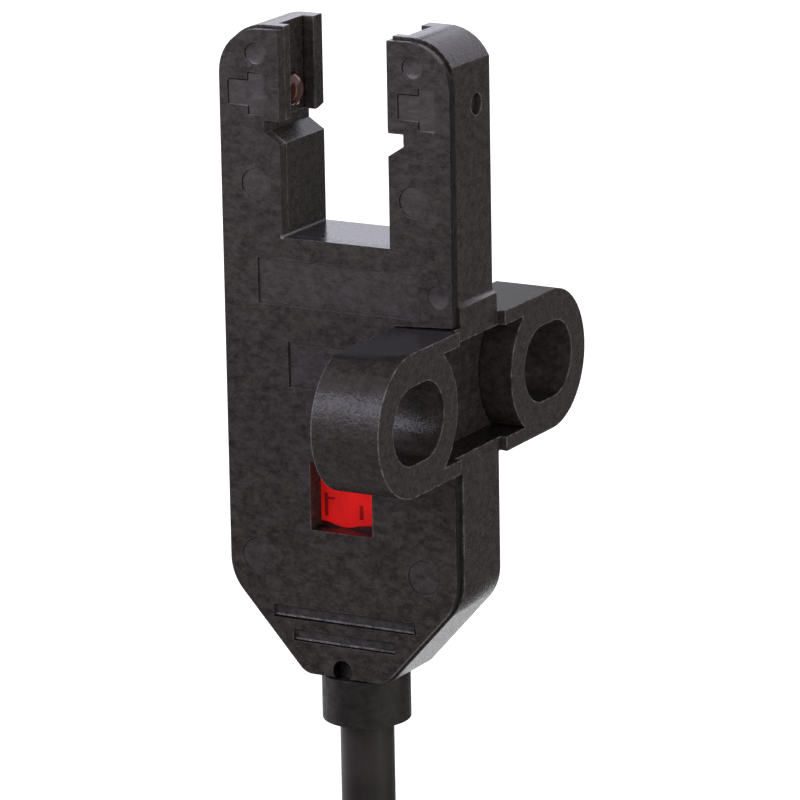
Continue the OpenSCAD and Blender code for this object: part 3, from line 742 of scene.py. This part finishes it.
def cut_wall(edge, lowest):
    """The wall of a cut that begins at that front edge of the cover, or None.

    It is also None for an edge that reaches below the height lowest."""
    if any(abs(y) > TOUCH or z < lowest for _, y, z in spots(edge)):
        return None
    walls = walls_at(edge, 0.3)
    return walls[0] if len(walls) == 1 else None


def deepest(face):
    """How deep that face of the cover reaches."""
    return max(y for _, y, _ in spots(face))


def on_deep_cut(edge, lower):
    """True for the front edge of a groove, the window or the slot, above the small hole.

    That is the lower edge if lower is True, and any other one if it is False."""
    wall = cut_wall(edge, SMALL_HOLE_TOP)
    return wall is not None and (wall.normal.z > 0.5) == lower and deepest(wall) > DEEP_CUT


def on_mark(edge):
    """True for a straight front edge of the package marks on the arms that looks up or down."""
    wall = cut_wall(edge, MARK_END)
    if wall is None or abs(wall.normal.z) < 0.9:
        return False
    return edge.calc_length() >= MARK_SIDE * MM and deepest(wall) < RECESS[1]


def is_groove_floor(face):
    """True for the floor of one of the two grooves at the foot of the cover."""
    _, depth, height = from_corner(face.calc_center_median())
    return face.normal.y < -0.99 and abs(depth - GROOVE_DEPTH) < 0.02 and height < GROOVE_TOP


def lip_finish(face, place):
    """Material of a wall or a rounded edge: a painted highlight where light would catch it, painted shade
    where it wouldn't, the plain plastic elsewhere.
    """
    if place.z > MARK_END and deepest(face) < RECESS[1] and face.normal.x > 0.9:
        return DEEP_SHADE
    if place.z > MARK_END and place.y < MARK_LIP and 0.5 < abs(face.normal.z) < 0.9:
        return DEEP_SHADE if face.normal.z < 0.0 else LIT_LIP
    if place.z > -SLOT_DEPTH + 0.1 or not LIP_SLOPE[0] < face.normal.y < LIP_SLOPE[1]:
        return PLAIN
    if place.z < GROOVE_TOP and abs(face.normal.z) > 0.08 and place.y < LOWER_LIP:
        return DEEP_SHADE if face.normal.z > 0.0 else SHADED_SIDE
    if place.y > LOWER_LIP or abs(face.normal.z) < 0.3:
        return PLAIN
    return LIT_LIP if face.normal.z > 0.3 else SHADED_SIDE


def is_vent_wall(face):
    """True for the wall of the small hole over the lead, which the photo shows black."""
    x, y, z = from_corner(face.calc_center_median())
    near = math.hypot(x - VENT[0], z - VENT[1]) < VENT[2]
    return near and 0.02 < y < COVER_T and abs(face.normal.y) < 0.3


def is_right_side(face):
    """True for the cover's own side and rim on the right, a dark band in the photo."""
    x, _, z = from_corner(face.calc_center_median())
    outer = x > BODY_W - 0.5 or (x > SIDE_FOOT[0] and z < SIDE_FOOT[1])
    return outer and face.normal.x > 0.25 and face.normal.y > -0.8


def finish_of(face):
    """Index of the cover material for that face."""
    place = Vector(from_corner(face.calc_center_median()))
    if face.normal.y < -0.99 and RECESS[0] < place.y < RECESS[1]:
        return RECESSED
    # Painted shade on the wall of the small hole.
    if is_vent_wall(face):
        return DEEP_SHADE
    # Painted shade on the cover's right side and rim.
    if is_right_side(face):
        return SHADED_SIDE
    # Groove floors get painted light, with a painted glint along their foot.
    if is_groove_floor(face):
        return GLINTING if any(foot < place.z < foot + GLINT[1] for foot in GROOVE_FEET) else LIT_GROOVE
    # Painted shade on the lower wall of each groove.
    if place.z < GROOVE_TOP and face.normal.z > 0.9 and place.y < GROOVE_DEPTH:
        return DEEP_SHADE
    return lip_finish(face, place)


def round_off(form, edges, width_mm, segments):
    """Rounds edges of a bmesh, or chamfers them where segments is 1."""
    bmesh.ops.bevel(form, geom=edges, offset=width_mm * MM, offset_type="OFFSET", segments=segments,
                    profile=0.5, affect="EDGES", clamp_overlap=True)
    form.normal_update()


def cover_piece():
    """The CAD cover with a rounded rim, a chamfer at its back and soft lips, in its plastic with painted
    shade and painted highlights.
    """
    form = bmesh.new()
    form.from_mesh(NODES["front_cover"].data)
    bmesh.ops.remove_doubles(form, verts=form.verts, dist=WELD_DIST)
    bmesh.ops.dissolve_limit(form, angle_limit=FLAT_ANGLE, verts=form.verts, edges=form.edges)
    for vert in form.verts:
        x, _, z = from_corner(vert.co)
        if abs(x - LUG_CUT[0]) < TOUCH and abs(z - LUG_CUT[1]) < TOUCH:
            vert.co.z -= LUG_DRAFT * MM
    form.normal_update()
    round_off(form, [e for e in form.edges if on_rim(e, 0.0)], RIM_R, 5)
    round_off(form, [e for e in form.edges if on_rim(e, COVER_T)], RIM_BACK, 1)
    for foot in GROOVE_FEET:
        for rise in GLINT:
            floor_faces = [f for f in form.faces if is_groove_floor(f)]
            near = once(e for f in floor_faces for e in f.edges) + floor_faces
            line = at(0.0, 0.0, foot + rise)
            bmesh.ops.bisect_plane(form, geom=near, plane_co=line, plane_no=(0.0, 0.0, 1.0))
    form.normal_update()
    round_off(form, [e for e in form.edges if on_mark(e)], MARK_LIP, 1)
    round_off(form, [e for e in form.edges if on_deep_cut(e, True)], LOWER_LIP, 3)
    round_off(form, [e for e in form.edges if on_deep_cut(e, False)], DEEP_EDGE, 3)
    for face in form.faces:
        face.material_index = finish_of(face)
    return mesh_piece("cover", form, COVER_MATS, "front_cover")


cover = cover_piece()
crisp(cover, SMALL_EDGE, 40.0, False)


# Optical packages with their lenses

# Sizes are in millimetres, and those of the lens are from the floor of its channel.
LENS_FOOT = 0.12
LENS_OUT = 0.42
LENS_BACK = 0.45
LENS_STEPS = 14
# Chamfer at the foot of the dome: where it begins and ends below LENS_FOOT, and its width. The dome
# begins inside it, at this share of its full spread.
LENS_CHAMFER = (0.04, 0.01, 0.012)
DOME_SHARE = 0.985
PACKAGE_HALF = 1.0
PACKAGE_EDGE = 0.08


def package_piece(node, name, side):
    """Package block and lens. side is 1 for the arm on the left, whose lens looks along +X."""
    low, high = (from_corner(corner) for corner in map(Vector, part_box(node)))
    outer = low[0] if side > 0 else high[0]
    floor_x = CHANNEL_X if side > 0 else BODY_W - CHANNEL_X
    inner = floor_x - side * LENS_BACK
    form = bmesh.new()
    block = box(
        form,
        (min(outer, inner), AXIS_Y - PACKAGE_HALF, low[2]),
        (max(outer, inner), AXIS_Y + PACKAGE_HALF, high[2]))
    block_edges = once(e for v in block for e in v.link_edges)
    bmesh.ops.bevel(form, geom=block_edges, offset=PACKAGE_EDGE * MM, segments=2,
                    profile=0.5, affect="EDGES")
    half = LENS_D / 2
    rise = LENS_OUT - LENS_FOOT
    radius = (half * half + rise * rise) / (2 * rise)
    spread = math.asin(half / radius)
    begin, end, width = LENS_CHAMFER
    profile = [(-LENS_BACK, half), (LENS_FOOT - begin, half), (LENS_FOOT - end, half - width)]
    for k in range(LENS_STEPS):
        a = spread * (1 - k / LENS_STEPS) * DOME_SHARE
        profile.append((LENS_OUT - radius * (1 - math.cos(a)), radius * math.sin(a)))
    revolved(form, profile, (floor_x, AXIS_Y, -LENS_DROP), side, 64)
    return mesh_piece(name, form, [lens_mat], node)


for package in (("emitter_package", "emitter", 1), ("receiver_package", "receiver", -1)):
    crisp(package_piece(*package))


# Indicator pane

# The pane behind the cover is painted a dark red for the shade it lies in. A red light guide stands out of
# it into the window, with a slim rib with a short arm on its left and a pad on its right; the guide and
# the rib have a painted glow.
PANE_EDGE = 0.35
PANE_T = 0.2
GUIDE_PROUD = 0.04
GUIDE_SUNK = 0.05
RIB_PROUD = 0.01
GUIDE = (
    (3.955, -17.92), (6.845, -17.92), (6.845, -20.6), (6.3, -20.58), (5.75, -20.66),
    (5.3, -20.78), (4.95, -20.79), (4.55, -20.7), (4.25, -20.62), (3.955, -20.6),
)
RIB = (4.13, 4.3, -19.4, -20.38)
RIB_ARM = (4.27, 4.62, -19.56, -19.66)
PAD = (5.76, 5.95, -19.76, -20.37)


def pane_piece():
    """The pane with the light guide, its rib and arm, and its pad."""
    x0, x1, z1, z0 = WINDOW
    form = bmesh.new()
    low = (x0 - PANE_EDGE, COVER_BACK, z0 - PANE_EDGE)
    high = (x1 + PANE_EDGE, COVER_BACK + PANE_T, z1 + PANE_EDGE)
    box(form, low, high, 1)
    front = COVER_BACK - GUIDE_PROUD
    plate(form, GUIDE, front, COVER_BACK + GUIDE_SUNK)
    for left, right, high, low in (RIB, RIB_ARM, PAD):
        box(form, (left, front - RIB_PROUD, low), (right, COVER_BACK, high), 2)
    return mesh_piece("pane", form, [pane_mat, shade_mat, rib_mat], "indicator_window")


crisp(pane_piece(), 0.015)


# Tie round the waist of the hank
STRAP_H = 4.8
STRAP_T = 0.45
STRAP_HALF = WAIST[1] + LEAD_D / 2 + 0.05
STRAP_Y = (-LEAD_D / 2 - 0.04, (ROWS - 1) * PITCH + LEAD_D / 2 + 0.04)
STRAP_CORNER = LEAD_D / 2 + 0.04
STRAP_START = 0.74
STRAP_TURNS = 1.2
STRAP_STEPS = 220
STRAP_EDGE = 0.16
# Share of a loop at which the band rises over its start, how long the rise is, and the gap there.
STRAP_RISE = (0.95, 0.05)
STRAP_GAP = 0.02


def loop_at(t):
    """Point and outward direction at share t of a loop with round corners about the turns."""
    wide, deep = 2 * (STRAP_HALF - STRAP_CORNER), STRAP_Y[1] - STRAP_Y[0] - 2 * STRAP_CORNER
    arc = math.pi / 2 * STRAP_CORNER
    middle = Vector((0.0, (STRAP_Y[0] + STRAP_Y[1]) / 2))
    left = (t % 1.0) * 2 * (wide + deep + 2 * arc)
    for k, (sx, sy) in enumerate(((1, -1), (1, 1), (-1, 1), (-1, -1))):
        side = wide if k % 2 == 0 else deep
        along = Vector((math.cos(math.pi / 2 * k), math.sin(math.pi / 2 * k)))
        out = Vector((along.y, -along.x))
        corner = middle + Vector((sx * wide / 2, sy * deep / 2))
        if left <= side:
            return corner - along * (side - left) + out * STRAP_CORNER, out
        left -= side
        if left <= arc or k == 3:
            turned = Matrix.Rotation(left / STRAP_CORNER, 2) @ out
            return corner + turned * STRAP_CORNER, turned
        left -= arc


def strap_piece():
    """A flat band once round the hank, whose end lies over its start."""
    section = []
    for far, high, first in ((1, 1, 0), (0, 1, 90), (0, 0, 180), (1, 0, 270)):
        for k in range(4):
            a = math.radians(first + 30 * k)
            section.append((
                (STRAP_T - STRAP_EDGE if far else STRAP_EDGE) + STRAP_EDGE * math.cos(a),
                (STRAP_H - STRAP_EDGE if high else STRAP_EDGE) + STRAP_EDGE * math.sin(a)))
    form = bmesh.new()
    rings = []
    for k in range(STRAP_STEPS + 1):
        gone = STRAP_TURNS * k / STRAP_STEPS
        over = ease((gone - STRAP_RISE[0]) / STRAP_RISE[1]) * (STRAP_T + STRAP_GAP)
        spot, out = loop_at(STRAP_START + gone)
        ring = []
        for thick, height in section:
            place = spot + out * (over + thick)
            ring.append(form.verts.new(Vector((
                EXIT[0] + place.x, EXIT[1] + place.y, MID - RUN / 2 - STRAP_H / 2 + height)) * MM))
        rings.append(ring)
    count = len(section)
    for ring, after in zip(rings, rings[1:]):
        for k in range(count):
            n = (k + 1) % count
            form.faces.new((ring[k], ring[n], after[n], after[k]))
    form.faces.new(rings[0])
    form.faces.new(rings[-1])
    return mesh_piece("tie", form, [strap_mat], "hank_tie")


strap = strap_piece()


# Twisted strands at the bare ends
CORE_LEN = 13.0
STRIP_LEN = 4.0
TAIL_ARC_R = 30.0
TAIL_SPREAD = 0.525
WIRE_D = 0.11
WIRES = 6
TWIST_LEN = 2.2
WIRE_STEPS = 36
WIRE_ROOT = 0.3
RAGGED = 0.12


def tail_point(core, length):
    """Middle of a core that far from the cut jacket, with its outward and sideways directions."""
    a = length / TAIL_ARC_R
    turn = math.radians(45 + 90 * core)
    out = TAIL_SPREAD + TAIL_ARC_R * (1 - math.cos(a))
    radial = Vector((math.cos(turn), math.sin(turn), 0.0))
    side = Vector((-math.sin(turn), math.cos(turn), 0.0))
    tip = Vector((EXIT[0] + TAIL[-1][0], EXIT[1], EXIT[2] + TAIL[-1][1]))
    middle = tip + radial * out + Vector((0.0, 0.0, -TAIL_ARC_R * math.sin(a)))
    outward = radial * math.cos(a) + Vector((0.0, 0.0, math.sin(a)))
    return middle, outward, side


def strand_lines():
    """Six wires round a seventh on each core, from just inside its cover to a ragged end."""
    lines = []
    for core in range(4):
        for wire in range(WIRES + 1):
            reach = WIRE_ROOT + STRIP_LEN - RAGGED * ((wire * 5) % 4)
            lay = WIRE_D if wire < WIRES else 0.0
            line = []
            for k in range(WIRE_STEPS + 1):
                along = CORE_LEN - WIRE_ROOT + reach * k / WIRE_STEPS
                middle, outward, side = tail_point(core, along)
                a = 2 * math.pi * (along / TWIST_LEN + wire / WIRES)
                line.append((middle + (outward * math.cos(a) + side * math.sin(a)) * lay) * MM)
            lines.append(line)
    return lines


strands = tubes("strands", strand_lines(), WIRE_D / 2 * MM, 2)
strands.data.materials.append(copper_mat)
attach(strands, "root")
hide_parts("bare_strands")


# CAD nodes that stay
MATERIAL_OF = {
    "rear_case": case_mat,
    "emitter_leads": tin_mat, "receiver_leads": tin_mat,
    "circuit_board": board_mat, "amplifier_ic": chip_mat, "output_transistor": chip_mat,
    "protection_diode": chip_mat, "resistors": chip_mat, "capacitor": capacitor_mat,
    "indicator_led": led_mat, "solder_joints": solder_mat, "lead_bushing": bushing_mat,
    "brown_core": core_mats["brown"], "black_core": core_mats["black"],
    "blue_core": core_mats["blue"], "pink_core": core_mats["pink"],
    "brown_tail": core_mats["brown"], "black_tail": core_mats["black"],
    "blue_tail": core_mats["blue"], "pink_tail": core_mats["pink"],
}
for node_name, node_mat in MATERIAL_OF.items():
    NODES[node_name].data.shade_smooth()
    NODES[node_name].data.materials.clear()
    NODES[node_name].data.materials.append(node_mat)
lead.data.materials.append(lead_mat)

soften("rear_case", 0.035)
soften("lead_bushing", 0.12)
for node_name in ("brown_tail", "black_tail", "blue_tail", "pink_tail"):
    soften(node_name, 0.03)


# Floor, world and lamps
FLOOR_Z = -0.108
FLOOR_HALF = 3.0
FLOOR_GLOW = 0.7
WORLD_LIGHT = 0.45
SQUARE = ((-1, -1), (1, -1), (1, 1), (-1, 1))


def when_seen(tree):
    """1 for rays from the camera, from a reflection or through glass, 0 for the others."""
    paths = tree.nodes.new("ShaderNodeLightPath")
    seen = math_node(tree, "MAXIMUM", paths.outputs["Is Camera Ray"], paths.outputs["Is Glossy Ray"])
    return math_node(tree, "MAXIMUM", seen, paths.outputs["Is Transmission Ray"])


floor_mesh = bpy.data.meshes.new("floor")
floor_mesh.from_pydata(
    [(x * FLOOR_HALF, y * FLOOR_HALF, FLOOR_Z) for x, y in SQUARE], [], [(0, 1, 2, 3)])
floor = bpy.data.objects.new("floor", floor_mesh)
bpy.context.scene.collection.objects.link(floor)
floor_mat, floor_tree, floor_shader = new_material("floor")
floor_shader.inputs["Base Color"].default_value = (0.9, 0.9, 0.9, 1.0)
floor_shader.inputs["Roughness"].default_value = 0.9
floor_shader.inputs["Specular IOR Level"].default_value = 0.0
floor_shader.inputs["Emission Color"].default_value = (1.0, 1.0, 1.0, 1.0)
floor_tree.links.new(
    remap(floor_tree, when_seen(floor_tree), 0.0, 1.0, 0.0, FLOOR_GLOW),
    floor_shader.inputs["Emission Strength"])
floor_mesh.materials.append(floor_mat)

world = bpy.data.worlds.new("world")
bpy.context.scene.world = world
world.use_nodes = True
world_tree = world.node_tree
world_tree.nodes.clear()
sky = world_tree.nodes.new("ShaderNodeOutputWorld")
light = world_tree.nodes.new("ShaderNodeBackground")
light.inputs["Color"].default_value = (1.0, 1.0, 1.0, 1.0)
world_tree.links.new(
    remap(world_tree, when_seen(world_tree), 0.0, 1.0, WORLD_LIGHT, 1.0), light.inputs["Strength"])
world_tree.links.new(light.outputs["Background"], sky.inputs["Surface"])


def softbox(name, direction, distance, size, radiance, colour):
    """A rectangular lamp that faces the object. radiance is what a mirror would show of it."""
    data = bpy.data.lights.new(name, "AREA")
    data.shape = "RECTANGLE"
    data.size = size[0]
    data.size_y = size[1]
    data.energy = radiance * size[0] * size[1] * math.pi
    data.color = colour
    lamp = bpy.data.objects.new(name, data)
    bpy.context.scene.collection.objects.link(lamp)
    towards = Vector(direction).normalized()
    lamp.location = towards * distance
    lamp.rotation_euler = towards.to_track_quat("Z", "Y").to_euler()
    lamp.visible_camera = False


def flag(name, direction, distance, half, shade, half_tall=None):
    """A dark card that only reflections show, as a photographer's black flag.

    half is half its side. A card that isn't square has half_tall as half its height."""
    tall = half if half_tall is None else half_tall
    mesh = bpy.data.meshes.new(name)
    towards = Vector(direction).normalized()
    turn = towards.to_track_quat("Z", "Y")
    corners = [turn @ Vector((x * half, y * tall, 0.0)) + towards * distance for x, y in SQUARE]
    mesh.from_pydata([tuple(c) for c in corners], [], [(0, 1, 2, 3)])
    mat, _, shader = new_material(name)
    shader.inputs["Base Color"].default_value = (shade, shade, shade, 1.0)
    shader.inputs["Roughness"].default_value = 1.0
    shader.inputs["Specular IOR Level"].default_value = 0.0
    mesh.materials.append(mat)
    card = bpy.data.objects.new(name, mesh)
    bpy.context.scene.collection.objects.link(card)
    card.visible_camera = False
    card.visible_diffuse = False
    card.visible_shadow = False
    card.visible_transmission = False


# Each lamp has a direction from the origin, a distance, a width and height, a radiance and a colour.
LAVENDER = (0.79, 0.78, 1.0)
WARM = (1.0, 0.96, 0.93)
softbox("back_light", (-0.10, 0.88, 0.42), 0.8, (1.0, 0.45), 1.3, LAVENDER)
softbox("key_light", (-0.4717, -0.7628, 0.4462), 0.08, (0.036, 0.032), 9.0, LAVENDER)
softbox("camera_fill", (0.5, -0.83, 0.2), 1.2, (1.2, 1.2), 0.9, WARM)
softbox("side_fill", (0.92, -0.36, 0.15), 1.2, (0.9, 0.9), 2.45, WARM)
flag("side_flag", (0.4717, 0.8446, -0.2533), 0.12, 0.07, 0.3)
flag("low_flag", (-0.42, -0.76, -0.5), 0.075, 0.03, 0.15)
flag("under_flag", (-0.5, 0.05, -0.86), 0.06, 0.04, 0.2, 0.014)
flag("camera_flag", (0.50, -0.83, -0.12), 0.15, 0.105, 0.12)
flag("top_flag", (-0.47, 0.4, 0.78), 0.1, 0.045, 0.12)
flag("lug_flag", (-0.36, 0.9, 0.25), 0.05, 0.008, 0.45)
